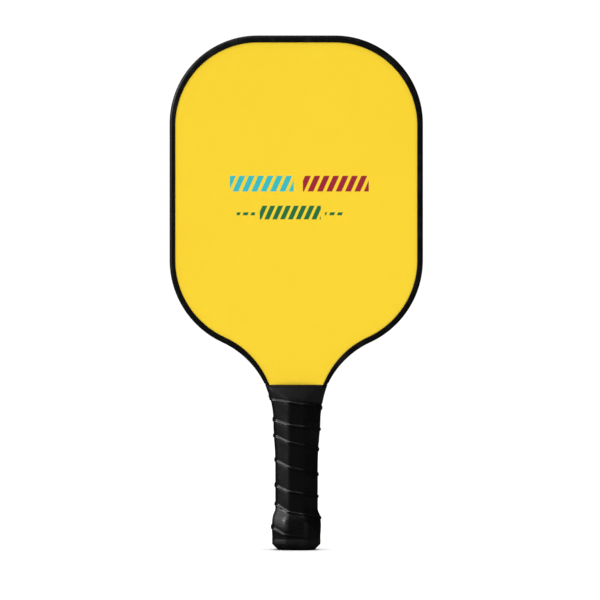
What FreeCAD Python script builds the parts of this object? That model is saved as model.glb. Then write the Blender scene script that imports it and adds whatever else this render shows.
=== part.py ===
import FreeCAD, Part
import math
import os

# Pickleball paddle, millimetres. Z runs from the butt face up to the tip of the head,
# -Y is the front face, and the origin is the middle of the butt face.

# Head outline
overall_length = 406.0
head_width = 200.0
top_corner_radius = 69.4
lower_corner_radius = 71.5
throat_curve_radius = 69.0
throat_height = 101.0
face_end_height = 130.3         # straight lower edge of the visible face

# Panel: honeycomb, bonding scrims, face sheets and printed films
core_thickness = 13.0
cell_width = 11.0               # across the flats, centre to centre
cell_wall = 0.3
scrim_thickness = 0.1
sheet_thickness = 0.5
film_thickness = 0.1

# Edge guard, a channel-section strip around the panel
guard_web = 1.7                 # how far it stands out past the panel's edge
guard_flange_width = 4.5        # seen on the face, from the outside edge
guard_tail_width = 2.9          # the same at its two lower ends
guard_flange_thickness = 0.8
guard_corner_radius = 2.2

# Grip section: an octagon with rounded corners
grip_width = 33.5
grip_depth = 29.0
bevel_across = 10.8             # share of the width taken by one bevel on the straight part
bevel_deep = 6.8                # share of the depth taken by one bevel
grip_corner_radius = 4.0
least_corner_radius = 0.8       # kept where the octagon is set in further than its rounding
throat_growth = 1.45            # widening on each side below the throat curve
throat_growth_start = 68.0

# Layers wound round the handle
grip_thickness = 1.7
tape_thickness = 0.2
finishing_tape_thickness = 0.3
finishing_tape_width = 10.4
neck_band_width = 2.4
neck_band_set_back = 0.3        # below the surface of the grip

# Handle shells, closed round the panel's tongue
shell_side_wall = 5.8
shell_corner_wall = 0.5         # least wall left outside the tongue's corners, inside the cap
ramp_height = 12.3              # sloping shoulder below the face
ramp_lip = 0.6                  # shell thickness left at the top of the ramp
peg_radius = 3.0
peg_socket_depth = 3.0
peg_clearance = 0.1
peg_heights = (52.0, 96.0)

# Butt cap
rim_height = 8.5                # bare rim below the grip
rim_flare = 2.2
belly_height = 19.0
belly_flare = 2.75
flare_full_height = 27.0
flare_full = 1.95
flare_end_height = 31.5
rim_bevel = 4.6                 # flat bevel round the lower end
cap_floor = 4.0
cap_wall = 2.0
cap_clearance = 0.15
badge_radius = 10.0
badge_thickness = 1.0
badge_clearance = 0.1

# Staples that hold the cap on the shells
staple_height = 20.0
staple_crown = 8.0
staple_wire = 0.9
staple_thickness = 0.5
staple_leg = 5.5

# Worked out from the sizes above
panel_half = core_thickness / 2 + scrim_thickness + sheet_thickness + film_thickness
bonded_half = panel_half - film_thickness
under_grip = grip_thickness + tape_thickness
grip_top = face_end_height - neck_band_width
ramp_start = face_end_height - ramp_height
ramp_top_half = panel_half + ramp_lip + under_grip
cap_neck = under_grip + cap_wall + cap_clearance
bevel_length = math.hypot(bevel_across, bevel_deep)
corner_reach = bevel_across * (grip_depth / 2 - bonded_half) / bevel_deep
corner_inset = bevel_across - corner_reach + (cap_neck + shell_corner_wall) * bevel_length / bevel_deep
tongue_inset = max(under_grip + shell_side_wall, corner_inset)
throat_half = grip_width / 2 + throat_growth
upper_arc_x = head_width / 2 - top_corner_radius
upper_arc_z = overall_length - top_corner_radius
lower_arc_x = head_width / 2 - lower_corner_radius
throat_arc_x = throat_half + throat_curve_radius
arc_spacing = lower_corner_radius + throat_curve_radius
lower_arc_z = throat_height + math.sqrt(arc_spacing ** 2 - (throat_arc_x - lower_arc_x) ** 2)
meeting_angle = math.atan2(throat_height - lower_arc_z, throat_arc_x - lower_arc_x)


def point(x, z):
    return FreeCAD.Vector(x, 0, z)


def on_arc(centre_x, centre_z, radius, angle):
    return point(centre_x + radius * math.cos(angle), centre_z + radius * math.sin(angle))


def arc(centre_x, centre_z, radius, start, end):
    """Arc in the XZ plane between two angles."""
    middle = on_arc(centre_x, centre_z, radius, (start + end) / 2)
    first = on_arc(centre_x, centre_z, radius, start)
    last = on_arc(centre_x, centre_z, radius, end)
    return Part.Arc(first, middle, last).toShape()


def line(start, end):
    return Part.makeLine(start, end)


def both_sides(edges):
    """The edges of the right side together with their mirror images."""
    mirrored = [edge.mirror(point(0, 0), FreeCAD.Vector(1, 0, 0)) for edge in edges]
    return edges + mirrored


def closed_face(edges):
    wire = Part.Wire(Part.__sortEdges__(edges))
    return Part.Face(wire)


def slab(face, low_y, high_y):
    """A face of the XZ plane made thick from low_y to high_y."""
    placed = face.copy()
    placed.translate(FreeCAD.Vector(0, low_y, 0))
    return placed.extrude(FreeCAD.Vector(0, high_y - low_y, 0))


def block(half_x, low_y, high_y, low_z, high_z):
    corner = FreeCAD.Vector(-half_x, low_y, low_z)
    return Part.makeBox(2 * half_x, high_y - low_y, high_z - low_z, corner)


def throat_angle(radius, height):
    return math.pi - math.asin((height - throat_height) / radius)


def head_edges(inset):
    """Right side of the head from the tip to the end of the face, set in by a distance."""
    top = overall_length - inset
    side = head_width / 2 - inset
    radius = throat_curve_radius + inset
    end_angle = throat_angle(radius, face_end_height)
    edges = [line(point(0, top), point(upper_arc_x, top))]
    edges.append(arc(upper_arc_x, upper_arc_z, top_corner_radius - inset, math.pi / 2, 0))
    edges.append(line(point(side, upper_arc_z), point(side, lower_arc_z)))
    edges.append(arc(lower_arc_x, lower_arc_z, lower_corner_radius - inset, 0, meeting_angle))
    edges.append(arc(throat_arc_x, throat_height, radius, math.pi + meeting_angle, end_angle))
    return edges


def head_end(inset):
    """Half width of the head outline at the end of the face."""
    radius = throat_curve_radius + inset
    return on_arc(throat_arc_x, throat_height, radius, throat_angle(radius, face_end_height)).x


def throat_sweep():
    """Radius and turn of the two equal arcs that widen the grip into the throat."""
    rise = throat_height - throat_growth_start
    radius = (rise ** 2 + throat_growth ** 2) / (4 * throat_growth)
    return radius, math.asin(rise / 2 / radius)


def handle_edges(inset, bottom):
    """Right side of the handle from the end of the face down, moved in by a distance."""
    radius, turn = throat_sweep()
    straight_x = grip_width / 2 - inset
    top_angle = throat_angle(throat_curve_radius, face_end_height)
    edges = [arc(throat_arc_x - inset, throat_height, throat_curve_radius, top_angle, math.pi)]
    edges.append(arc(throat_half - inset - radius, throat_height, radius, 0, -turn))
    edges.append(arc(straight_x + radius, throat_growth_start, radius, math.pi - turn, math.pi))
    edges.append(line(point(straight_x, throat_growth_start), point(straight_x, bottom)))
    return edges


def handle_end(inset):
    """Half width of the handle, moved in by a distance, at the end of the face."""
    return half_width(face_end_height) - inset


def flare(height):
    """Extra half width and half depth of the butt at a height."""
    heights = (0, belly_height, flare_full_height, flare_end_height)
    sizes = (rim_flare, belly_flare, flare_full, 0)
    for low, high, first, last in zip(heights, heights[1:], sizes, sizes[1:]):
        if height <= high:
            return first + (last - first) * (height - low) / (high - low)
    return 0


def half_width(height):
    """Half the width of the grip at a height."""
    radius = throat_sweep()[0]
    if height <= throat_growth_start:
        return grip_width / 2 + flare(height)
    if height >= throat_height:
        return throat_arc_x - math.sqrt(throat_curve_radius ** 2 - (height - throat_height) ** 2)
    if height < (throat_growth_start + throat_height) / 2:
        drop = math.sqrt(radius ** 2 - (height - throat_growth_start) ** 2)
        return grip_width / 2 + radius - drop
    drop = math.sqrt(radius ** 2 - (throat_height - height) ** 2)
    return throat_half - radius + drop


def octagon_corners(width, depth, across, inset):
    """Corners of the grip's octagon, given half sizes and bevel, after moving every side in."""
    length = math.hypot(across, bevel_deep)
    reach = (bevel_deep * width + across * (depth - bevel_deep)) / length - inset
    side_x = width - inset
    front_y = depth - inset
    side_y = (length * reach - bevel_deep * side_x) / across
    front_x = (length * reach - across * front_y) / bevel_deep
    quarter = [(side_x, side_y), (front_x, front_y)]
    corners = quarter + [(-x, y) for x, y in reversed(quarter)]
    return corners + [(-x, -y) for x, y in corners]


def octagon(height, inset, at=None):
    """Rounded octagon of the handle at one height, placed there or at another height.

    Above the straight part the bevels take all of the widening.
    """
    level = height if at is None else at
    width = half_width(height)
    depth = grip_depth / 2 + flare(height)
    across = bevel_across + width - grip_width / 2 - flare(height)
    corners = [FreeCAD.Vector(x, y, level) for x, y in octagon_corners(width, depth, across, inset)]
    radius = max(grip_corner_radius - inset, least_corner_radius)
    arcs = []
    for index, corner in enumerate(corners):
        before = (corners[index - 1] - corner).normalize()
        after = (corners[(index + 1) % len(corners)] - corner).normalize()
        half_angle = before.getAngle(after) / 2
        setback = radius / math.tan(half_angle)
        bow = radius / math.sin(half_angle) - radius
        middle = corner + (before + after).normalize() * bow
        arcs.append(Part.Arc(corner + before * setback, middle, corner + after * setback).toShape())
    edges = []
    for index, rounding in enumerate(arcs):
        following = arcs[(index + 1) % len(arcs)]
        edges.append(rounding)
        edges.append(line(rounding.Vertexes[-1].Point, following.Vertexes[0].Point))
    return Part.Wire(edges)


def loft(sections, ruled):
    return Part.makeLoft(sections, True, ruled)


def ramp_cutters(inset):
    """Wedges that slope the front and back of the handle down to the face."""
    start_y = grip_depth / 2 - inset
    end_y = ramp_top_half - inset
    beyond = 2.0
    slope = (start_y - end_y) / ramp_height
    corners = [(start_y + beyond * slope, ramp_start - beyond), (start_y + beyond, ramp_start - beyond)]
    corners.append((start_y + beyond, face_end_height + beyond))
    corners.append((end_y - beyond * slope, face_end_height + beyond))
    points = [FreeCAD.Vector(-head_width / 2, y, z) for y, z in corners]
    face = Part.Face(Part.makePolygon(points + points[:1]))
    wedge = face.extrude(FreeCAD.Vector(head_width, 0, 0))
    return [wedge, wedge.mirror(point(0, 0), FreeCAD.Vector(0, 1, 0))]


def butt_levels():
    return (rim_height, belly_height, flare_full_height, flare_end_height)


def neck_levels():
    """Heights of the sections that follow the throat, evenly spaced in each stretch."""
    growth = throat_height - throat_growth_start
    throat = face_end_height - throat_height
    lower = [throat_growth_start + growth * part / 4 for part in range(4)]
    return lower + [throat_height + throat * part / 5 for part in range(6)]


def handle_body(inset, bottom, top):
    """Solid handle inside a surface set in from the finished grip, between two heights."""
    straight_levels = (flare_end_height, throat_growth_start)
    butt = loft([octagon(level, inset) for level in butt_levels()], True)
    straight = loft([octagon(level, inset) for level in straight_levels], True)
    neck = loft([octagon(level, inset) for level in neck_levels()], False)
    body = butt.multiFuse([straight, neck]).removeSplitter().cut(ramp_cutters(inset))
    return body.common(block(head_width, -head_width, head_width, bottom, top))


def shank(inset, bottom, top):
    """Straight octagon inside the butt cap."""
    return loft([octagon(flare_end_height, inset, level) for level in (bottom, top)], True)


def tongue_edges():
    """Right side and foot of the tongue that runs down inside the handle."""
    foot = line(point(grip_width / 2 - tongue_inset, cap_floor), point(0, cap_floor))
    return handle_edges(tongue_inset, cap_floor) + [foot]


def tongue_face():
    top = line(point(handle_end(tongue_inset), face_end_height), point(0, face_end_height))
    return closed_face(both_sides(tongue_edges() + [top]))


def panel_face():
    """Outline of core, scrims and face sheets: the head and its tongue."""
    shoulder_end = point(handle_end(tongue_inset), face_end_height)
    shoulder = line(point(head_end(guard_web), face_end_height), shoulder_end)
    return closed_face(both_sides(head_edges(guard_web) + [shoulder] + tongue_edges()))


def head_face(inset):
    """Outline of the head alone, cut straight at the end of the face."""
    foot = line(point(head_end(inset), face_end_height), point(0, face_end_height))
    return closed_face(both_sides(head_edges(inset) + [foot]))


def window_face():
    """Opening of the edge guard; its border narrows towards the lower ends."""
    start = head_edges(guard_flange_width)[:-1]
    radius = lower_corner_radius - guard_flange_width
    meeting = on_arc(lower_arc_x, lower_arc_z, radius, meeting_angle)
    tail = point(head_end(guard_tail_width), face_end_height)
    outward = FreeCAD.Vector(math.cos(meeting_angle), 0, math.sin(meeting_angle))
    reach = meeting - tail
    curve_radius = -reach.dot(reach) / (2 * reach.dot(outward))
    centre = meeting + outward * curve_radius
    last_angle = math.atan2(tail.z - centre.z, tail.x - centre.x)
    first_angle = meeting_angle + math.pi
    start.append(arc(centre.x, centre.z, curve_radius, first_angle, last_angle % (2 * math.pi)))
    below = point(tail.x, face_end_height - guard_flange_width)
    start.append(line(tail, below))
    start.append(line(below, point(0, below.z)))
    return closed_face(both_sides(start))


def peg_holes(radius):
    """Cylinders across the handle where the pegs go."""
    start = [FreeCAD.Vector(0, -grip_depth / 2, height) for height in peg_heights]
    return [Part.makeCylinder(radius, grip_depth, place, FreeCAD.Vector(0, 1, 0)) for place in start]


def cell_centres():
    """Honeycomb cell centres over the whole outline."""
    row_height = cell_width * math.sqrt(3) / 2
    rows = int(overall_length / row_height) + 2
    columns = int(head_width / cell_width / 2) + 2
    for row in range(rows):
        shift = cell_width / 2 * (row % 2)
        for column in range(-columns, columns + 1):
            yield point(column * cell_width + shift, row * row_height)


def cell_wire(centre):
    radius = (cell_width - cell_wall) / math.sqrt(3)
    turns = [math.pi / 6 + math.pi / 3 * corner for corner in range(7)]
    return Part.makePolygon([on_arc(centre.x, centre.z, radius, turn) for turn in turns])


def at_a_peg(centre):
    """Whether the peg holes reach into a cell; such cells are filled before drilling."""
    reach = peg_radius + peg_clearance + cell_width / math.sqrt(3)
    return any(math.hypot(centre.x, centre.z - height) < reach for height in peg_heights)


def make_honeycomb_core():
    """Hexagonal cells cut off where they meet the outline, as when a sheet of core is sawn out."""
    outline = panel_face()
    edge = outline.OuterWire
    reach = cell_width / math.sqrt(3) + cell_wall
    whole = []
    sawn = []
    for centre in cell_centres():
        if at_a_peg(centre) or not outline.isInside(centre, cell_wall / 10, False):
            continue
        clear = edge.distToShape(Part.Vertex(centre))[0]
        if clear > reach:
            whole.append(cell_wire(centre))
        else:
            sawn.append(Part.Face(cell_wire(centre)))
    walls = max(outline.cut(sawn).Faces, key=lambda face: face.Area)
    walls = Part.Face([walls.OuterWire] + whole)
    return slab(walls, -core_thickness / 2, core_thickness / 2).cut(peg_holes(peg_radius + peg_clearance))


def make_layer(face, inner, thickness, side):
    """One flat layer of the panel; side is -1 for the front and 1 for the back."""
    low, high = sorted((side * inner, side * (inner + thickness)))
    return slab(face, low, high)


def make_edge_guard():
    """U-channel bent round the panel, rounded outside, with its lower ends cut square."""
    outer_half = panel_half + guard_flange_thickness
    body = slab(head_face(0), -outer_half, outer_half)
    rounded = [edge for edge in body.Edges if abs(edge.CenterOfMass.z - face_end_height) > 1
               and abs(abs(edge.BoundBox.YMax) - outer_half) < 0.01 and edge.BoundBox.YLength < 0.01]
    body = body.makeFillet(guard_corner_radius, rounded)
    body = body.cut(slab(head_face(guard_web), -panel_half, panel_half))
    return body.cut(slab(window_face(), -2 * outer_half, 2 * outer_half))


def make_handle_shell(side):
    """Half of the handle moulding: it closes round the tongue and meets the other half."""
    body = handle_body(under_grip, flare_end_height, face_end_height)
    body = body.fuse(shank(cap_neck, cap_floor, flare_end_height)).removeSplitter()
    low, high = sorted((0, side * grip_depth))
    body = body.common(block(head_width, low, high, 0, overall_length))
    return body.cut(slab(tongue_face(), -bonded_half, bonded_half))


def make_front_shell():
    """Front half with two pegs that pass through the tongue."""
    pegs = []
    for height in peg_heights:
        start = FreeCAD.Vector(0, -bonded_half, height)
        length = 2 * bonded_half + peg_socket_depth
        pegs.append(Part.makeCylinder(peg_radius, length, start, FreeCAD.Vector(0, 1, 0)))
    return make_handle_shell(-1).multiFuse(pegs)


def make_back_shell():
    """Back half with blind sockets for the pegs."""
    sockets = []
    for height in peg_heights:
        start = FreeCAD.Vector(0, bonded_half, height)
        depth = peg_socket_depth + peg_clearance
        sockets.append(Part.makeCylinder(peg_radius + peg_clearance, depth, start, FreeCAD.Vector(0, 1, 0)))
    return make_handle_shell(1).cut(sockets)


def make_staples():
    """Flat-wire staples: a crown let into the cap and two legs driven into each shell."""
    depth = grip_depth / 2 + flare(staple_height) - under_grip
    staples = []
    for side in (-1, 1):
        low, high = sorted((side * (depth - staple_thickness), side * depth))
        half_wire = staple_wire / 2
        staple = block(staple_crown / 2, low, high, staple_height - half_wire, staple_height + half_wire)
        low, high = sorted((side * (depth - staple_leg), side * depth))
        for offset in (-1, 1):
            leg = block(half_wire, low, high, staple_height - half_wire, staple_height + half_wire)
            leg.translate(point(offset * (staple_crown / 2 - half_wire), 0))
            staple = staple.fuse(leg)
        staples.append(staple.removeSplitter())
    return Part.makeCompound(staples)


def make_butt_cap():
    """Moulded cup over the lower end of the handle, with a bare bevelled rim and a ledge for the grip."""
    rim = loft([octagon(0, rim_bevel), octagon(rim_bevel, 0), octagon(rim_height, 0)], True)
    ledge = loft([octagon(level, under_grip) for level in butt_levels()], True)
    socket = shank(under_grip + cap_wall, cap_floor, flare_end_height)
    badge_seat = Part.makeCylinder(badge_radius + badge_clearance, badge_thickness)
    return rim.fuse(ledge).cut([socket, badge_seat])


def make_sleeve(outer, inner, bottom, top):
    """Layer wound round the handle, between two surfaces set in from the finished grip."""
    return handle_body(outer, bottom, top).cut(handle_body(inner, bottom, top))


def make_parts():
    panel = panel_face()
    visible = head_face(guard_web)
    staples = make_staples()
    holes = peg_holes(peg_radius + peg_clearance)
    parts = {"honeycomb_core": make_honeycomb_core(), "edge_guard": make_edge_guard()}
    for name, side in (("front", -1), ("back", 1)):
        inner = core_thickness / 2
        scrim = make_layer(panel, inner, scrim_thickness, side)
        sheet = make_layer(panel, inner + scrim_thickness, sheet_thickness, side)
        parts[name + "_core_scrim"] = scrim.cut(holes)
        parts[name + "_face_sheet"] = sheet.cut(holes)
        parts[name + "_printed_film"] = make_layer(visible, bonded_half, film_thickness, side)
    parts["front_handle_shell"] = make_front_shell().cut(staples)
    parts["back_handle_shell"] = make_back_shell().cut(staples)
    parts["butt_cap"] = make_butt_cap().cut(staples)
    parts["butt_cap_staples"] = staples
    parts["butt_badge"] = Part.makeCylinder(badge_radius, badge_thickness)
    parts["grip_adhesive_tape"] = make_sleeve(grip_thickness, under_grip, rim_height, grip_top)
    parts["grip_wrap"] = make_sleeve(0, grip_thickness, rim_height, grip_top)
    tape_bottom = grip_top - finishing_tape_width
    parts["finishing_tape"] = make_sleeve(-finishing_tape_thickness, 0, tape_bottom, grip_top)
    parts["neck_band"] = make_sleeve(neck_band_set_back, under_grip, grip_top, face_end_height)
    return parts


os.makedirs("parts", exist_ok=True)
for node, shape in make_parts().items():
    shape.exportStep("parts/" + node + ".step")
    print(node, "solids", len(shape.Solids), "volume", round(shape.Volume, 1))
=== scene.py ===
import math

import bpy
import numpy as np
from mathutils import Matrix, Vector


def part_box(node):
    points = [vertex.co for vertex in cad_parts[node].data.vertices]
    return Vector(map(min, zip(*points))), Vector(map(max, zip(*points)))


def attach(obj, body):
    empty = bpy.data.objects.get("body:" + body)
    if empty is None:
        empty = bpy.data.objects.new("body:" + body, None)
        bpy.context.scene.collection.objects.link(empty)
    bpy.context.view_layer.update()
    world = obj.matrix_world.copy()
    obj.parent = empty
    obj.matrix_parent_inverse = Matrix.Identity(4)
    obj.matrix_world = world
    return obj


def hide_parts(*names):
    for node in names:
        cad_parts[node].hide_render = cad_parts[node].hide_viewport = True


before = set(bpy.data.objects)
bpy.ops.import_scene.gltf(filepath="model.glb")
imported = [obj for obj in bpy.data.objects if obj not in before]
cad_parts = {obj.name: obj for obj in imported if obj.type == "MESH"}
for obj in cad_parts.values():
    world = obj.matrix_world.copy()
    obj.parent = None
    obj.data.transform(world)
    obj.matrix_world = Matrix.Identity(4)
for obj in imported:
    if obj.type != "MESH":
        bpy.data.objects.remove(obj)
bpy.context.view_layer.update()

# Honeycomb core. A sheet of extruded polypropylene cells, sawn to the outline of the head and
# running on down the handle as a tongue. It is bonded between the two faces and never seen whole.


def linear(hex_colour):
    """An sRGB hex colour as linear RGBA."""
    channels = [int(hex_colour[start:start + 2], 16) / 255 for start in (1, 3, 5)]
    bent = [c / 12.92 if c <= 0.04045 else ((c + 0.055) / 1.055) ** 2.4 for c in channels]
    return (*bent, 1.0)


def add_node(tree, kind, inputs, **settings):
    """A node with its settings; each input takes a value or the output of another node."""
    node = tree.nodes.new(kind)
    for name, value in settings.items():
        setattr(node, name, value)
    for name, value in inputs.items():
        if isinstance(value, bpy.types.NodeSocket):
            tree.links.new(value, node.inputs[name])
        else:
            node.inputs[name].default_value = value
    return node


def start_material(name):
    """An empty material with object coordinates in metres to hang patterns on."""
    material = bpy.data.materials.new(name)
    material.use_nodes = True
    material.node_tree.nodes.clear()
    place = add_node(material.node_tree, "ShaderNodeTexCoord", {}).outputs["Object"]
    return material, material.node_tree, place


def finish_material(tree, colour, roughness, height, depth_mm, **shader_inputs):
    """Closes a material: principled shader, with a bump of a real depth from a 0 to 1 height."""
    inputs = {"Height": height, "Strength": 1.0, "Distance": depth_mm / 1000}
    relief = add_node(tree, "ShaderNodeBump", inputs)
    inputs = {"Base Color": colour, "Roughness": roughness, "Normal": relief.outputs[0]}
    inputs.update({name.replace("_", " "): value for name, value in shader_inputs.items()})
    shader = add_node(tree, "ShaderNodeBsdfPrincipled", inputs)
    add_node(tree, "ShaderNodeOutputMaterial", {"Surface": shader.outputs[0]})


def between(tree, factor, first, second):
    """A colour or number that runs from first to second as factor goes from 0 to 1."""
    is_colour = isinstance(first, tuple) or getattr(first, "type", "") == "RGBA"
    sockets = {0: factor, 6: first, 7: second} if is_colour else {0: factor, 2: first, 3: second}
    node = add_node(tree, "ShaderNodeMix", sockets, data_type="RGBA" if is_colour else "FLOAT")
    return node.outputs[2 if is_colour else 0]


def per_metre(size_mm):
    """Texture scale whose features come out at a real size."""
    return 1000 / size_mm


def wear(node_name, material):
    """Gives a solid carried over from the CAD its one material."""
    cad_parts[node_name].data.materials.clear()
    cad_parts[node_name].data.materials.append(material)


def extruded_polypropylene():
    """Milky natural polypropylene: a faint cloudiness and drawn streaks along the cell walls."""
    material, tree, place = start_material("extruded_polypropylene")
    cloud = add_node(tree, "ShaderNodeTexNoise", {"Vector": place, "Scale": per_metre(9), "Detail": 3})
    streak_place = add_node(tree, "ShaderNodeMapping", {"Vector": place, "Scale": (1, 0.06, 1)})
    inputs = {"Vector": streak_place.outputs[0], "Scale": per_metre(0.7), "Detail": 2}
    streaks = add_node(tree, "ShaderNodeTexNoise", inputs)
    colour = between(tree, cloud.outputs[0], linear("#E9E9E2"), linear("#D9DAD2"))
    roughness = between(tree, streaks.outputs[0], 0.38, 0.55)
    finish_material(tree, colour, roughness, streaks.outputs[0], 0.02, IOR=1.49)
    return material


wear("honeycomb_core", extruded_polypropylene())

# Bonding scrims. A thin non-woven polyester veil melted to each side of the core, which gives
# the resin of the face sheets something to soak into.


def spun_polyester():
    """Off-white veil: short crossed fibres, thin and thick patches, no shine."""
    material, tree, place = start_material("spun_polyester")
    inputs = {"Vector": place, "Scale": per_metre(1.6), "Detail": 5, "Distortion": 1.8}
    fibres = add_node(tree, "ShaderNodeTexNoise", inputs)
    patches = add_node(tree, "ShaderNodeTexNoise", {"Vector": place, "Scale": per_metre(14), "Detail": 2})
    colour = between(tree, patches.outputs[0], linear("#F0EFEA"), linear("#DAD9D2"))
    roughness = between(tree, fibres.outputs[0], 0.8, 0.95)
    finish_material(tree, colour, roughness, fibres.outputs[0], 0.05, Sheen_Weight=0.2)
    return material


veil = spun_polyester()
wear("front_core_scrim", veil)
wear("back_core_scrim", veil)

# Face sheets. Plain-woven glass cloth in cured epoxy, pressed on the core with heat, so the
# weave still shows through the clear resin.


def wave_scale(period_mm):
    """Scale of a wave texture for one ridge per period; its own period is 2 pi / 20."""
    return math.pi / 10 * 1000 / period_mm


def plain_weave(tree, place, thread_mm):
    """Height of a plain weave: warp and weft ridges, each on top in every other square."""
    across = {"Vector": place, "Scale": wave_scale(thread_mm)}
    warp = add_node(tree, "ShaderNodeTexWave", across, bands_direction="X")
    weft = add_node(tree, "ShaderNodeTexWave", across, bands_direction="Z")
    inputs = {"Vector": place, "Scale": per_metre(thread_mm), "Color1": (1, 1, 1, 1), "Color2": (0, 0, 0, 1)}
    squares = add_node(tree, "ShaderNodeTexChecker", inputs)
    return between(tree, squares.outputs["Fac"], warp.outputs["Color"], weft.outputs["Color"])


def fibreglass_laminate():
    """Green-grey glass cloth under resin: woven squares, a wet-looking clear surface."""
    material, tree, place = start_material("fibreglass_laminate")
    weave = plain_weave(tree, place, 1.5)
    resin = add_node(tree, "ShaderNodeTexNoise", {"Vector": place, "Scale": per_metre(22), "Detail": 3})
    glass = between(tree, weave, linear("#B9C2A8"), linear("#D3D9C2"))
    colour = between(tree, resin.outputs[0], glass, linear("#C3C6A4"))
    finish_material(tree, colour, 0.32, weave, 0.04, IOR=1.55)
    return material


laminate = fibreglass_laminate()
wear("front_face_sheet", laminate)
wear("back_face_sheet", laminate)

# Printed films. A thin polycarbonate film, printed yellow on its underside and bonded over each
# face sheet. The front one also carries plain slanted stripes in teal, maroon and green.


def inside(tree, value, low_mm, high_mm):
    """1 where a coordinate in metres lies between two places in millimetres, else 0."""
    middle = (low_mm + high_mm) / 2000
    half = (high_mm - low_mm) / 2000
    node = add_node(tree, "ShaderNodeMath", {0: value, 1: middle, 2: half}, operation="COMPARE")
    return node.outputs[0]


def together(tree, *masks):
    """1 only where every mask is 1."""
    result = masks[0]
    for mask in masks[1:]:
        result = add_node(tree, "ShaderNodeMath", {0: result, 1: mask}, operation="MULTIPLY").outputs[0]
    return result


def slanted_stripes(tree, x, z, pitch_mm, share):
    """1 on stripes that lean to the right, one per pitch, each a share of it wide."""
    lean = add_node(tree, "ShaderNodeMath", {0: z, 1: -0.45, 2: x}, operation="MULTIPLY_ADD").outputs[0]
    wrapped = add_node(tree, "ShaderNodeMath", {0: lean, 1: pitch_mm / 1000, 2: 0.0}, operation="WRAP")
    return inside(tree, wrapped.outputs[0], 0, pitch_mm * share)


def printed_stripes(tree, place, ground):
    """The front's plain motif: two rows of stripes with a row of short dashes beside the lower."""
    axes = add_node(tree, "ShaderNodeSeparateXYZ", {"Vector": place})
    x, z = axes.outputs["X"], axes.outputs["Z"]
    upper_row = inside(tree, z, 282.8, 295.2)
    lower_row = inside(tree, z, 260.8, 271.6)
    dash_row = inside(tree, z, 264.0, 266.4)
    wide = slanted_stripes(tree, x, z, 7.4, 0.62)
    narrow = slanted_stripes(tree, x, z, 6.2, 0.62)
    colour = ground
    marks = (
        (together(tree, upper_row, inside(tree, x, -52.4, -2.0), wide), "#2FC0C4"),
        (together(tree, upper_row, inside(tree, x, 5.2, 57.2), wide), "#A3172E"),
        (together(tree, lower_row, inside(tree, x, -28.8, 19.4), narrow), "#14763F"),
        (together(tree, dash_row, inside(tree, x, -47.0, -32.6), narrow), "#14763F"),
        (together(tree, dash_row, inside(tree, x, 22.6, 37.4), narrow), "#14763F"),
    )
    for mask, ink in marks:
        colour = between(tree, mask, colour, linear(ink))
    return colour


def printed_polycarbonate(name, with_stripes):
    """Flat strong yellow under a satin clear face, with the glass weave just telling through."""
    material, tree, place = start_material(name)
    weave = plain_weave(tree, place, 1.5)
    peel = add_node(tree, "ShaderNodeTexNoise", {"Vector": place, "Scale": per_metre(2.4), "Detail": 2})
    drift = add_node(tree, "ShaderNodeTexNoise", {"Vector": place, "Scale": per_metre(60), "Detail": 2})
    ground = between(tree, drift.outputs[0], linear("#FFDB26"), linear("#FDD520"))
    colour = printed_stripes(tree, place, ground) if with_stripes else ground
    roughness = between(tree, peel.outputs[0], 0.36, 0.46)
    height = between(tree, 0.35, weave, peel.outputs[0])
    finish_material(tree, colour, roughness, height, 0.012, IOR=1.5, Specular_IOR_Level=0.35)
    return material


wear("front_printed_film", printed_polycarbonate("striped_printed_polycarbonate", True))
wear("back_printed_film", printed_polycarbonate("plain_printed_polycarbonate", False))

# Edge guard. One extruded channel of black thermoplastic elastomer, bent round the head, glued to
# the panel's edge and pressed down on both faces. Its flanges are trimmed narrower at the tails.
guard_low, guard_high = (corner * 1000 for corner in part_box("edge_guard"))
head_half_width = guard_high.x
head_top = guard_high.z
face_end = guard_low.z
guard_half = guard_high.y
film_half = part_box("back_printed_film")[1].y * 1000
top_corner_radius = 69.4
lower_corner_radius = 71.5
throat_radius = 69.0
throat_height = 101.0
throat_half = 18.2
guard_web = 1.7
flange_width = 4.6
crown_flange_width = 5.7
tail_flange_width = 3.2
lip_radius = 0.45
shoulder_radius = 2.3
guard_gap = 0.01
tail_overrun = 1.6


def sweep_arc(centre, radius, start, end, step=math.radians(2.5)):
    """Points of an arc with the direction away from its centre at each."""
    count = max(3, int(abs(end - start) / step))
    angles = np.linspace(start, end, count)
    outward = np.stack([np.cos(angles), np.sin(angles)], axis=1)
    return np.array(centre) + radius * outward, outward


def guard_path():
    """Right half of the outside line, tip to tail, with outward directions, in the XZ plane."""
    upper = (head_half_width - top_corner_radius, head_top - top_corner_radius)
    throat = (throat_half + throat_radius, throat_height)
    lower_x = head_half_width - lower_corner_radius
    spacing = lower_corner_radius + throat_radius
    lower = (lower_x, throat_height + math.sqrt(spacing ** 2 - (throat[0] - lower_x) ** 2))
    meeting = math.atan2(throat[1] - lower[1], throat[0] - lower[0])
    last = math.pi - math.asin((face_end - tail_overrun - throat_height) / throat_radius)
    top = np.stack([np.linspace(0, upper[0], 8)[:-1], np.full(7, head_top)], axis=1)
    corner, corner_out = sweep_arc(upper, top_corner_radius, math.pi / 2, 0)
    side_z = np.linspace(upper[1], lower[1], 16)[1:-1]
    side = np.stack([np.full(len(side_z), head_half_width), side_z], axis=1)
    hip, hip_out = sweep_arc(lower, lower_corner_radius, 0, meeting)
    neck, neck_out = sweep_arc(throat, throat_radius, meeting + math.pi, last)
    points = np.concatenate([top, corner, side, hip, neck[1:]])
    flat_out = [np.tile((0.0, 1.0), (7, 1)), corner_out, np.tile((1.0, 0.0), (len(side), 1)), hip_out]
    return points, np.concatenate(flat_out + [-neck_out[1:]])


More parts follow.
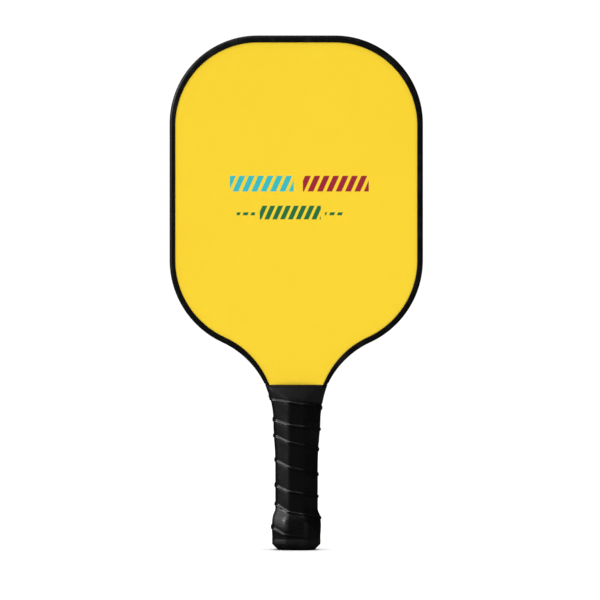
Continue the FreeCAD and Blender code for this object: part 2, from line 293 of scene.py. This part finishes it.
def guard_section(flange):
    """Closed outline of the channel: distance in from the outside, and depth."""
    turns = np.linspace(0, math.pi / 2, 7)
    rounding = [(1 - math.sin(turn), 1 - math.cos(turn)) for turn in turns]
    lip = [(flange - lip_radius * across, guard_half - lip_radius * deep) for across, deep in rounding[::-1]]
    lip = [(flange, film_half + guard_gap)] + lip
    shoulder = [(shoulder_radius * across, guard_half - shoulder_radius * deep) for across, deep in rounding]
    front = [(inward, -depth) for inward, depth in lip + shoulder]
    back = [(inward, depth) for inward, depth in (lip + shoulder)[::-1]]
    channel = [(guard_web, film_half + guard_gap), (guard_web, -film_half - guard_gap)]
    return front + [(-0.0, 0.0)] + back + channel


def tube_faces(rows, columns, closed_rows=False):
    """Quads between successive closed rings of points."""
    faces = []
    for row in range(rows if closed_rows else rows - 1):
        following = (row + 1) % rows
        for column in range(columns):
            beside = (column + 1) % columns
            ring = (row * columns + column, row * columns + beside)
            faces.append((*ring, following * columns + beside, following * columns + column))
    return faces


def add_piece(name, points_mm, faces, material, replaced, sharp_degrees=40):
    """A finished mesh piece on the paddle, from points in millimetres."""
    mesh = bpy.data.meshes.new(name)
    mesh.from_pydata([tuple(point / 1000) for point in np.asarray(points_mm, float)], [], faces)
    mesh.validate()
    mesh.materials.append(material)
    piece = bpy.data.objects.new(name, mesh)
    bpy.context.scene.collection.objects.link(piece)
    bpy.context.view_layer.objects.active = piece
    piece.select_set(True)
    bpy.ops.object.mode_set(mode="EDIT")
    bpy.ops.mesh.select_all(action="SELECT")
    bpy.ops.mesh.normals_make_consistent(inside=False)
    bpy.ops.object.mode_set(mode="OBJECT")
    bpy.ops.object.shade_smooth_by_angle(angle=math.radians(sharp_degrees))
    piece.select_set(False)
    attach(piece, "root")
    if replaced:
        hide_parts(replaced)
    return piece


def extruded_elastomer():
    """Near-black satin strip: fine drawn grain, dust in the grain, edges rubbed a little smoother."""
    material, tree, place = start_material("extruded_elastomer")
    grain = add_node(tree, "ShaderNodeTexNoise", {"Vector": place, "Scale": per_metre(0.6), "Detail": 4})
    scuffs = add_node(tree, "ShaderNodeTexNoise", {"Vector": place, "Scale": per_metre(11), "Detail": 6})
    inputs = {"Value": scuffs.outputs[0], "From Min": 0.52, "From Max": 0.72}
    rub = add_node(tree, "ShaderNodeMapRange", inputs)
    colour = between(tree, rub.outputs[0], linear("#0B0A08"), linear("#171614"))
    roughness = between(tree, rub.outputs[0], 0.42, 0.58)
    finish_material(tree, colour, roughness, grain.outputs[0], 0.012, IOR=1.45, Specular_IOR_Level=0.3)
    return material


right_line, right_out = guard_path()
line = np.concatenate([right_line[:0:-1] * (-1, 1), right_line])
out = np.concatenate([right_out[:0:-1] * (-1, 1), right_out])
rings = []
for (x, z), (out_x, out_z) in zip(line, out):
    taper = np.clip((z - face_end) / 26, 0, 1)
    crown = np.clip((z - head_top + top_corner_radius) / top_corner_radius, 0, 1)
    flange = tail_flange_width + (flange_width - tail_flange_width) * taper ** 0.8
    flange += (crown_flange_width - flange_width) * math.sin(math.pi / 2 * crown)
    for inward, depth in guard_section(flange):
        rings.append((x - out_x * inward, depth, max(z - out_z * inward, face_end)))
section_count = len(guard_section(flange_width))
guard_faces = tube_faces(len(line), section_count)
guard_faces.append(tuple(range(section_count)))
guard_faces.append(tuple(range((len(line) - 1) * section_count, len(line) * section_count)))
add_piece("edge_guard_strip", rings, guard_faces, extruded_elastomer(), "edge_guard")

# Handle shells. Two injection-moulded halves closed round the tongue, the front one with pegs
# that pass through it. They are glued, then hidden by the tape and the grip.


def moulded_abs():
    """Dark grey ABS as it leaves a plain mould: even, dull, with slight flow marks."""
    material, tree, place = start_material("moulded_abs")
    flow_place = add_node(tree, "ShaderNodeMapping", {"Vector": place, "Scale": (1, 1, 0.15)})
    inputs = {"Vector": flow_place.outputs[0], "Scale": per_metre(5), "Detail": 4, "Distortion": 0.6}
    flow = add_node(tree, "ShaderNodeTexNoise", inputs)
    grit = add_node(tree, "ShaderNodeTexNoise", {"Vector": place, "Scale": per_metre(0.35), "Detail": 2})
    colour = between(tree, flow.outputs[0], linear("#3A3B3D"), linear("#434446"))
    roughness = between(tree, flow.outputs[0], 0.5, 0.6)
    finish_material(tree, colour, roughness, grit.outputs[0], 0.01, IOR=1.54)
    return material


shell_plastic = moulded_abs()
wear("front_handle_shell", shell_plastic)
wear("back_handle_shell", shell_plastic)

# Butt cap. A cup moulded in black ABS and pushed over the lower end of the shells. Its bare rim
# shows below the grip; the rest is a ledge that the grip is wound over.
grip_half_width = 16.75
grip_half_depth = 14.5
bevel_across = 10.8
bevel_deep = 6.8
base_inset = 1.7
base_corner_radius = 4.3
flare_stations = ((0, 2.2), (8.5, 2.35), (12.2, 2.45), (15.4, 2.7), (19, 2.75), (21.7, 2.65), (24, 2.4),
                  (26, 2.1), (27.6, 1.7), (28.8, 1.15), (29.8, 0.5), (30.8, 0.12), (32, 0.0))
shoulder_sag = 2.0
growth_start = 68.0
heavy_heights = (15, 28, 60, 90, 98, 112, 120, 128)
heavy_sizes = (0.1, 0.45, 0.45, 0.55, 1.0, 1.05, 0.6, 0.1)
ramp_start = 118.0
ramp_top_half = 9.7
ramp_crown = 1.8
around = 144
rim_height = 8.5
rim_bevel = 4.6
cap_top = 31.5
cap_wall = 2.0
cap_floor = 4.0
cap_skin = 0.2
ledge_rounding = 0.3
badge_radius = 10.0
badge_depth = 1.0


def base_ring():
    """Rounded octagon under the grip as points and outward directions, evenly spaced round it.

    It starts at the left side and goes by way of the front.
    """
    width, depth = grip_half_width - base_inset, grip_half_depth - base_inset
    length = math.hypot(bevel_across, bevel_deep)
    flat_depth = grip_half_depth - bevel_deep
    reach = (bevel_deep * grip_half_width + bevel_across * flat_depth) / length - base_inset
    side_y = (length * reach - bevel_deep * width) / bevel_across
    front_x = (length * reach - bevel_across * depth) / bevel_deep
    corners = [(-width, -side_y), (-front_x, -depth), (front_x, -depth), (width, -side_y)]
    corners += [(-x, -y) for x, y in corners]
    points, normals = [np.array((-width, 0.0))], [np.array((-1.0, 0.0))]
    for index, corner in enumerate(corners):
        before = np.array(corners[index - 1]) - corner
        after = np.array(corners[(index + 1) % 8]) - corner
        before, after = before / np.linalg.norm(before), after / np.linalg.norm(after)
        half_angle = math.acos(np.clip(before @ after, -1, 1)) / 2
        inward = (before + after) / np.linalg.norm(before + after)
        centre = np.array(corner) + inward * base_corner_radius / math.sin(half_angle)
        first = corner + before * base_corner_radius / math.tan(half_angle) - centre
        last = corner + after * base_corner_radius / math.tan(half_angle) - centre
        for share in np.linspace(0, 1, 9):
            spoke = first * (1 - share) + last * share
            spoke /= np.linalg.norm(spoke)
            points.append(centre + spoke * base_corner_radius)
            normals.append(spoke)
    points.append(points[0])
    normals.append(normals[0])
    points, normals = np.array(points), np.array(normals)
    travelled = np.concatenate([[0], np.cumsum(np.linalg.norm(np.diff(points, axis=0), axis=1))])
    return travelled / travelled[-1], points, normals


ring_share, ring_points, ring_normals = base_ring()


def grip_widening(z):
    """Extra half width of the handle at each height, above its straight part."""
    arc = throat_half + throat_radius - np.sqrt(throat_radius ** 2 - np.clip(z - throat_height, 0, 60) ** 2)
    rise = np.clip((z - growth_start) / (throat_height - growth_start), 0, 1)
    ease = (throat_half - grip_half_width) * rise * rise * (3 - 2 * rise)
    return np.where(z > throat_height, arc - grip_half_width, ease)


def butt_flare(z):
    """How far the handle swells towards the butt at each height."""
    heights, sizes = zip(*flare_stations)
    return np.interp(z, heights, sizes)


def on_handle(share, z, lift):
    """Points of the handle at a share of the way round, a height and a lift off its bare surface."""
    share, z, lift = np.broadcast_arrays(np.asarray(share, float) % 1, np.asarray(z, float), lift)
    x = np.interp(share, ring_share, ring_points[:, 0])
    y = np.interp(share, ring_share, ring_points[:, 1])
    out_x = np.interp(share, ring_share, ring_normals[:, 0])
    out_y = np.interp(share, ring_share, ring_normals[:, 1])
    flat_x = grip_half_width - bevel_across
    flat_y = grip_half_depth - bevel_deep
    outer_share = np.clip((np.abs(x) - flat_x) / (grip_half_width - base_inset - flat_x), 0, 1)
    flare = butt_flare(z + shoulder_sag * (1 - outer_share) * np.clip(z / 12, 0, 1))
    x = x + np.clip(x / flat_x, -1, 1) * flare + np.sign(x) * outer_share * grip_widening(z)
    y = y + np.clip(y / flat_y, -1, 1) * flare
    heavy = np.clip(out_x, 0, 1) * np.interp(z, heavy_heights, heavy_sizes) * np.clip(lift, 0, 1)
    x, y = x + out_x * (lift + heavy), y + out_y * (lift + heavy)
    climb = np.clip((z - ramp_start) / (face_end - ramp_start), -1, 1)
    limit = grip_half_depth + (ramp_top_half - grip_half_depth) * climb - base_inset + lift
    limit = limit - ramp_crown * np.clip(climb, 0, 1) * (x / 20) ** 2
    soft = 0.8 + 1.4 * np.clip(climb, 0, 1)
    over = np.abs(y) - limit
    kept = limit + 0.5 * (over - np.sqrt(over ** 2 + soft ** 2))
    y = np.where(z > ramp_start - 6, np.sign(y) * np.minimum(np.abs(y), kept), y)
    return np.stack([x, y, z], axis=-1)


def handle_sleeve(stations):
    """Rings round the handle, one for each (height, lift) station."""
    share = np.arange(around) / around
    return np.concatenate([on_handle(share, z, lift) for z, lift in stations])


def rounded(z, lift, radius, start, end, count=8):
    """Stations along a rounding whose centre is at a height and a lift."""
    turns = np.radians(np.linspace(start, end, count))
    return [(z + radius * math.sin(turn), lift + radius * math.cos(turn)) for turn in turns]


def circle_ring(radius, z):
    """A circle whose points face those of the handle's rings."""
    middle = on_handle(np.arange(around) / around, 0.0, 0.0)[:, :2]
    angle = np.arctan2(middle[:, 1], middle[:, 0])
    return np.stack([radius * np.cos(angle), radius * np.sin(angle), np.full(around, z)], axis=1)


def spark_textured_abs():
    """Black ABS from a spark-eroded mould: even fine pits, slightly shiny on the worn corners."""
    material, tree, place = start_material("spark_textured_abs")
    pits = add_node(tree, "ShaderNodeTexVoronoi", {"Vector": place, "Scale": per_metre(0.45)})
    rub = add_node(tree, "ShaderNodeTexNoise", {"Vector": place, "Scale": per_metre(6), "Detail": 6})
    inputs = {"Value": rub.outputs[0], "From Min": 0.5, "From Max": 0.75}
    worn = add_node(tree, "ShaderNodeMapRange", inputs)
    colour = between(tree, worn.outputs[0], linear("#10100F"), linear("#171716"))
    roughness = between(tree, worn.outputs[0], 0.5, 0.36)
    finish_material(tree, colour, roughness, pits.outputs["Distance"], 0.02, IOR=1.54, Specular_IOR_Level=0.4)
    return material


inner_lift = -cap_wall - cap_skin
cap_stations = [(cap_floor, inner_lift), (cap_top, inner_lift), (cap_top, -cap_skin)]
cap_stations += [(z, -cap_skin) for z in (30, 27, 24, 20, 15, rim_height)]
rim_lift = base_inset - ledge_rounding
cap_stations += [(rim_height, rim_lift)]
cap_stations += rounded(rim_height - ledge_rounding, rim_lift, ledge_rounding, 90, 0, 5)
cap_stations += [(rim_bevel + 0.9, base_inset), (rim_bevel + 0.25, base_inset - 0.06)]
cap_stations += [(rim_bevel - 0.4, base_inset - 0.5), (0.45, base_inset - rim_bevel + 0.35)]
cap_stations += [(0.12, base_inset - rim_bevel), (0.0, base_inset - rim_bevel - 0.35)]
cap_rings = np.concatenate([
    handle_sleeve(cap_stations),
    circle_ring(badge_radius + 0.4, 0.0),
    circle_ring(badge_radius + 0.1, 0.25),
    circle_ring(badge_radius + 0.1, badge_depth),
])
cap_ring_count = len(cap_rings) // around
cap_faces = tube_faces(cap_ring_count, around)
cap_faces.append(tuple(range(around)))
cap_faces.append(tuple(range((cap_ring_count - 1) * around, cap_ring_count * around)))
add_piece("butt_cap_moulding", cap_rings, cap_faces, spark_textured_abs(), "butt_cap")

# Butt cap staples. Flat galvanised wire, one on the front and one on the back, driven through
# the cap into each shell before the grip goes on.


def galvanised_wire():
    """Dull zinc on steel: grey spangle, fine drawing lines along the crown."""
    material, tree, place = start_material("galvanised_wire")
    spangle = add_node(tree, "ShaderNodeTexVoronoi", {"Vector": place, "Scale": per_metre(0.5)})
    stretch = add_node(tree, "ShaderNodeMapping", {"Vector": place, "Scale": (0.05, 1, 1)})
    lines = add_node(tree, "ShaderNodeTexNoise", {"Vector": stretch.outputs[0], "Scale": per_metre(0.08)})
    colour = between(tree, spangle.outputs["Distance"], linear("#C9CACB"), linear("#9FA1A3"))
    finish_material(tree, colour, 0.34, lines.outputs[0], 0.004, Metallic=1.0)
    return material


wear("butt_cap_staples", galvanised_wire())

# Butt badge. A small blank disc, moulded with a raised border and a dished middle, pressed into
# its seat in the end of the cap.
badge_profile = ((0.0, 0.35), (3.0, 0.34), (6.0, 0.32), (7.6, 0.26), (7.9, 0.05), (8.1, 0.02), (9.4, 0.0))
badge_edge = ((9.75, 0.06), (9.95, 0.3), (9.95, 0.98))


def polished_abs():
    """Black ABS from a polished mould, with faint turning rings from the mould's face."""
    material, tree, place = start_material("polished_abs")
    radius = add_node(tree, "ShaderNodeVectorMath", {0: place, 1: (1, 1, 0)}, operation="MULTIPLY")
    inputs = {"Vector": radius.outputs[0], "Scale": wave_scale(0.5)}
    turned = add_node(tree, "ShaderNodeTexWave", inputs, wave_type="RINGS", rings_direction="SPHERICAL")
    smear = add_node(tree, "ShaderNodeTexNoise", {"Vector": place, "Scale": per_metre(3), "Detail": 4})
    colour = between(tree, smear.outputs[0], linear("#1A1A1B"), linear("#222223"))
    roughness = between(tree, smear.outputs[0], 0.22, 0.36)
    finish_material(tree, colour, roughness, turned.outputs["Fac"], 0.004, IOR=1.54)
    return material


badge_rings = np.concatenate([circle_ring(max(r, 0.02), z) for r, z in badge_profile + badge_edge])
badge_count = len(badge_profile + badge_edge)
badge_faces = tube_faces(badge_count, around)
badge_faces.append(tuple(range(around)))
badge_faces.append(tuple(range((badge_count - 1) * around, badge_count * around)))
add_piece("butt_badge_disc", badge_rings, badge_faces, polished_abs(), "butt_badge")

# Adhesive tape under the grip. Thin double-sided tape wound on the shells, left as the plain
# sleeve that it is once the grip covers it.


def double_sided_tape():
    """Cream paper-backed adhesive: fine crepe wrinkles round the handle, slightly waxy."""
    material, tree, place = start_material("double_sided_tape")
    crepe_place = add_node(tree, "ShaderNodeMapping", {"Vector": place, "Scale": (0.2, 0.2, 1)})
    inputs = {"Vector": crepe_place.outputs[0], "Scale": per_metre(0.8)}
    crepe = add_node(tree, "ShaderNodeTexNoise", inputs)
    stain = add_node(tree, "ShaderNodeTexNoise", {"Vector": place, "Scale": per_metre(12), "Detail": 3})
    colour = between(tree, stain.outputs[0], linear("#E6DFC8"), linear("#D8CDB0"))
    roughness = between(tree, crepe.outputs[0], 0.5, 0.65)
    finish_material(tree, colour, roughness, crepe.outputs[0], 0.03)
    return material


wear("grip_adhesive_tape", double_sided_tape())

# Grip wrap. A strip of cushioned polyurethane, skived thin along both edges and wound by hand from
# the butt upwards, each turn lapping over the one below, so every lap stands up as a ridge.
# Height of each lap on the front: outer edge of the left bevel, left and right edges of the flat.
lap_heights = (
    (140.0, 138.4, 134.8),
    (117.9, 116.4, 113.6),
    (101.4, 98.4, 96.0),
    (89.2, 84.7, 80.9),
    (69.7, 65.0, 61.3),
    (49.7, 45.9, 43.2),
    (35.3, 29.7, 26.9),
    (16.9, 11.6, 9.8),
    (1.5, -2.5, -6.0),
)
lap_shares = (0.085, 0.19, 0.39)
wrap_bottom = rim_height + 0.05
wrap_top = 127.9
lap_width = 3.2
plateau_lift = 1.58
steps_per_turn = 150
lap_drop = 0.75
lap_rise = ((0.0, 1.62), (0.06, 1.9), (0.2, 2.16), (0.42, 2.3), (0.66, 2.34), (0.9, 2.31), (1.15, 2.22),
            (1.4, 2.07), (1.65, 1.87), (1.9, 1.66), (2.05, 1.54), (2.3, 1.5), (3.0, 1.52), (6.5, 1.58))
# Where the skin is pulled dull over the flare: between two laps, out on the bevels, off one corner.
flare_lap_slope = 0.5
dull_top = (26.2, 25.0)
dull_bottom = (11.0, 13.5)
dull_outward = (5.0, 7.2)
shiny_corner = (-9.0, -17.2, 23.8)
shiny_reach = (1.2, 4.5)


def lap_height(turns):
    """Height of the strip's lower edge after a number of turns, counted down from the top."""
    known_turns = [turn - 1 + share for turn in range(len(lap_heights)) for share in lap_shares]
    known_heights = [height for row in lap_heights for height in row]
    spread = np.linspace(-0.03, 0.03, 7)
    samples = [np.interp(np.asarray(turns, float) + shift, known_turns, known_heights) for shift in spread]
    return np.mean(samples, axis=0) - lap_drop


def ridge_share(seam):
    """How much of its ridge a lap keeps; it dies away where the strip meets the rim or the top."""
    low = np.clip((seam - wrap_bottom - 0.3) / 3.0, 0, 1)
    return low * low * (3 - 2 * low)


def outside_lift(above, seam):
    """Lift of the wrap's outside at a distance above the lap below it."""
    rise, lifts = zip(*lap_rise)
    keep = ridge_share(seam)
    return plateau_lift + (np.interp(above, rise, lifts) - plateau_lift) * keep


def tucked_lift(above):
    """Lift of the skived upper edge where the next turn lies on it."""
    return np.interp(above, (0, 0.8, lap_width), (plateau_lift, 1.3, 0.3))


def strip_section(turns):
    """Height and lift of each point round the strip's section after a number of turns."""
    seam = float(lap_height(turns))
    upper = float(lap_height(turns - 1))
    keep = float(ridge_share(seam))
    outer = [(seam + rise, float(outside_lift(rise, seam))) for rise, _ in lap_rise]
    body_low = seam + lap_rise[-1][0]
    outer += [(z, plateau_lift) for z in np.linspace(body_low, upper - 0.3, 6)[1:]]
    tucked = [(upper + rise, float(tucked_lift(rise))) for rise in (0.1, 0.9, 1.7, 2.5, lap_width)]
    below = [(upper + lap_width, 0.02), (upper, 0.02), (body_low, 0.02), (seam + lap_width + 0.6, 0.02)]
    rises = (lap_width, 2.5, 1.7, 0.9, 0.1)
    lapped = [(seam + rise, 0.05 + keep * float(tucked_lift(rise))) for rise in rises]
    section = outer + tucked + below + lapped
    return [(min(max(z, wrap_bottom), wrap_top), lift) for z, lift in section]


def wound_polyurethane():
    """Black polyurethane skin: fine leather-like pores, soft creases along the strip, rubbed areas
    that shine a little more, a tacky sheen that lights up the laps, and a duller, more creased
    skin where the strip is pulled over the flare at the butt."""
    material, tree, place = start_material("wound_polyurethane")
    pores = add_node(tree, "ShaderNodeTexVoronoi", {"Vector": place, "Scale": per_metre(0.75)})
    along = add_node(tree, "ShaderNodeMapping", {"Vector": place, "Scale": (0.35, 0.35, 1)})
    inputs = {"Vector": along.outputs[0], "Scale": per_metre(2.6), "Detail": 5, "Distortion": 0.7}
    creases = add_node(tree, "ShaderNodeTexNoise", inputs)
    hands = add_node(tree, "ShaderNodeTexNoise", {"Vector": place, "Scale": per_metre(16), "Detail": 4})
    inputs = {"Value": hands.outputs[0], "From Min": 0.42, "From Max": 0.66}
    rubbed = add_node(tree, "ShaderNodeMapRange", inputs)
    colour = between(tree, rubbed.outputs[0], linear("#050505"), linear("#0A0A0A"))
    inputs = {0: place, 1: (flare_lap_slope, 0, 1)}
    slant = add_node(tree, "ShaderNodeVectorMath", inputs, operation="DOT_PRODUCT").outputs["Value"]
    across = add_node(tree, "ShaderNodeSeparateXYZ", {"Vector": place}).outputs["X"]
    outward = add_node(tree, "ShaderNodeMath", {0: across}, operation="ABSOLUTE").outputs[0]
    inputs = {0: place, 1: tuple(side / 1000 for side in shiny_corner)}
    off_corner = add_node(tree, "ShaderNodeVectorMath", inputs, operation="DISTANCE").outputs["Value"]
    shares = []
    limits = (slant, dull_top), (slant, dull_bottom), (outward, dull_outward), (off_corner, shiny_reach)
    for value, ends in limits:
        inputs = {"Value": value, "From Min": ends[0] / 1000, "From Max": ends[1] / 1000}
        shares.append(add_node(tree, "ShaderNodeMapRange", inputs).outputs[0])
    stretched = together(tree, *shares[:2])
    dull = together(tree, stretched, *shares[2:])
    roughness = between(tree, dull, between(tree, rubbed.outputs[0], 0.36, 0.27), 0.58)
    height = between(tree, 0.6, pores.outputs["Distance"], creases.outputs[0])
    deeper = between(tree, stretched, 1.0, 3.0)
    height = add_node(tree, "ShaderNodeMath", {0: height, 1: deeper}, operation="MULTIPLY").outputs[0]
    finish_material(tree, colour, roughness, height, 0.09, IOR=1.5, Specular_IOR_Level=0.55)
    return material


first_turn, last_turn = -0.45, 7.45
turn_list = np.linspace(first_turn, last_turn, int((last_turn - first_turn) * steps_per_turn))
sections = np.array([strip_section(turns) for turns in turn_list])
wrap_points = on_handle(turn_list[:, None], sections[:, :, 0], sections[:, :, 1]).reshape(-1, 3)
strip_count = sections.shape[1]
wrap_faces = tube_faces(len(turn_list), strip_count)
wrap_faces.append(tuple(range(strip_count)))
wrap_faces.append(tuple(range((len(turn_list) - 1) * strip_count, len(turn_list) * strip_count)))
add_piece("grip_wrap_strip", wrap_points, wrap_faces, wound_polyurethane(),
          "grip_wrap", 60)

# Finishing tape. Stretched vinyl tape wound once round the sloping top of the grip, a little
# askew, so its lower edge keeps close to the last lap.
tape_lift = 0.22
tape_gap = 0.04
tape_low = 117.9
tape_slant = 0.11
tape_levels = 14


def wrap_surface(share, z):
    """Lift of the finished wrap near its top, at places round the handle."""
    seams = np.stack([lap_height(share + turn) for turn in (-1, 0, 1)])
    seam = np.where(seams <= z, seams, -np.inf).max(axis=0)
    return outside_lift(z - seam, seam)


def stretched_vinyl():
    """Black vinyl tape pulled tight: smooth and satin, with faint stretch lines round the handle."""
    material, tree, place = start_material("stretched_vinyl")
    pulled = add_node(tree, "ShaderNodeMapping", {"Vector": place, "Scale": (0.08, 0.08, 1)})
    lines = add_node(tree, "ShaderNodeTexNoise", {"Vector": pulled.outputs[0], "Scale": per_metre(0.9)})
    dull = add_node(tree, "ShaderNodeTexNoise", {"Vector": place, "Scale": per_metre(8), "Detail": 4})
    colour = between(tree, dull.outputs[0], linear("#101010"), linear("#161616"))
    roughness = between(tree, dull.outputs[0], 0.3, 0.38)
    finish_material(tree, colour, roughness, lines.outputs[0], 0.03, IOR=1.52, Specular_IOR_Level=0.5)
    return material


tape_share = np.arange(around) / around
tape_bottom = tape_low - tape_slant * on_handle(tape_share, tape_low, 0.0)[:, 0]
tape_rings = []
for level in np.linspace(0, 1, tape_levels):
    z = tape_bottom + (wrap_top - tape_bottom) * level
    edge = tape_lift * min(1.0, 0.35 + level * 9)
    tape_rings.append(on_handle(tape_share, z, wrap_surface(tape_share, z) + tape_gap + edge))
for level in np.linspace(1, 0, tape_levels):
    z = tape_bottom + (wrap_top - tape_bottom) * level
    tape_rings.append(on_handle(tape_share, z, wrap_surface(tape_share, z) + tape_gap))
tape_faces = tube_faces(2 * tape_levels, around, closed_rows=True)
add_piece("finishing_tape_band", np.concatenate(tape_rings), tape_faces, stretched_vinyl(),
          "finishing_tape", 50)

# Neck band. A soft rubber band stretched over the very top of the grip, hiding the cut ends of
# the strip and the tape. It is thinner than the grip, so it reads as a dark line under the face.
band_lift = 1.66
band_low, band_high = wrap_top, face_end
band_rounding = 0.2


def soft_rubber():
    """Matt black rubber with a fine powdery tooth and next to no shine."""
    material, tree, place = start_material("soft_rubber")
    tooth = add_node(tree, "ShaderNodeTexNoise", {"Vector": place, "Scale": per_metre(0.4), "Detail": 3})
    bloom = add_node(tree, "ShaderNodeTexNoise", {"Vector": place, "Scale": per_metre(7), "Detail": 3})
    colour = between(tree, bloom.outputs[0], linear("#060606"), linear("#0B0B0B"))
    roughness = between(tree, tooth.outputs[0], 0.6, 0.75)
    finish_material(tree, colour, roughness, tooth.outputs[0], 0.02, IOR=1.52, Specular_IOR_Level=0.25)
    return material


band_stations = [(band_low, 0.02), (band_low, band_lift - band_rounding)]
band_stations += rounded(band_low + band_rounding, band_lift - band_rounding, band_rounding, -90, 0, 6)[1:]
band_stations += rounded(band_high - band_rounding, band_lift - band_rounding, band_rounding, 0, 90, 6)
band_stations += [(band_high, 0.02)]
band_faces = tube_faces(len(band_stations), around, closed_rows=True)
add_piece("neck_band_ring", handle_sleeve(band_stations), band_faces, soft_rubber(),
          "neck_band")

# Studio. A pale floor, an even front and back light for the flat faces, and one soft box on the
# left whose reflection runs down the bevels and the laps of the grip.
frame_height = 474.2
aim_x, aim_z = 2.95, 197.2
lens = 300.0
sensor = 36.0


def add_light(name, kind, energy, place, aim, **settings):
    """A lamp aimed at a point: suns light the matt surfaces, soft boxes only show as reflections."""
    data = bpy.data.lights.new(name, kind)
    data.energy = energy
    for key, value in settings.items():
        setattr(data, key, value)
    light = bpy.data.objects.new(name, data)
    bpy.context.scene.collection.objects.link(light)
    light.location = place
    light.rotation_euler = (Vector(aim) - Vector(place)).to_track_quat("-Z", "Y").to_euler()
    light.visible_glossy = kind == "AREA"
    light.visible_diffuse = kind == "SUN"
    return light


def pale_floor():
    """Matt white studio floor, faintly uneven, that stays dark in reflections."""
    material, tree, place = start_material("matt_studio_floor")
    mottle = add_node(tree, "ShaderNodeTexNoise", {"Vector": place, "Scale": per_metre(300), "Detail": 3})
    white = between(tree, mottle.outputs[0], linear("#FAFAFA"), linear("#FCFCFC"))
    path = add_node(tree, "ShaderNodeLightPath", {})
    colour = between(tree, path.outputs["Is Glossy Ray"], white, linear("#303030"))
    finish_material(tree, colour, 0.9, mottle.outputs[0], 0.01, Specular_IOR_Level=0.0)
    return material


def even_white_world():
    """White to the camera and even light on matt surfaces, but dark in reflections, as black cards
    round a product table would make it."""
    world = bpy.data.worlds.new("studio_surround")
    world.use_nodes = True
    tree = world.node_tree
    tree.nodes.clear()
    path = add_node(tree, "ShaderNodeLightPath", {})
    seen = between(tree, path.outputs["Is Camera Ray"], 0.012, 1.05)
    strength = between(tree, path.outputs["Is Diffuse Ray"], seen, 0.63)
    light = add_node(tree, "ShaderNodeBackground", {"Color": (1, 1, 1, 1), "Strength": strength})
    add_node(tree, "ShaderNodeOutputWorld", {"Surface": light.outputs[0]})
    return world


bpy.context.scene.world = even_white_world()
bpy.context.scene.view_settings.view_transform = "Standard"
add_light("overhead_sun", "SUN", 2.2, (0, 0, 3), (0, 0, 0), angle=math.radians(70))
add_light("upper_soft_box", "AREA", 6.0, (-0.35, -0.5, 1.75), (0, 0, 0.12),
          shape="RECTANGLE", size=0.6, size_y=0.4)
add_light("left_soft_box", "AREA", 24.0, (-1.3, -0.6, 0.85), (0, 0, 0.1),
          shape="RECTANGLE", size=0.5, size_y=0.7)

floor_size = 3.0
corners = [(-floor_size, -floor_size, 0), (floor_size, -floor_size, 0), (floor_size, floor_size, 0),
           (-floor_size, floor_size, 0)]
floor_mesh = bpy.data.meshes.new("studio_floor")
floor_mesh.from_pydata(corners, [], [(0, 1, 2, 3)])
floor_mesh.materials.append(pale_floor())
floor = bpy.data.objects.new("studio_floor", floor_mesh)
bpy.context.scene.collection.objects.link(floor)

camera_data = bpy.data.cameras.new("front_camera")
camera_data.lens = lens
camera_data.sensor_width = sensor
camera = bpy.data.objects.new("front_camera", camera_data)
bpy.context.scene.collection.objects.link(camera)
camera.location = (aim_x / 1000, -frame_height * lens / sensor / 1000, aim_z / 1000)
camera.rotation_euler = (math.pi / 2, 0, 0)
bpy.context.scene.camera = camera
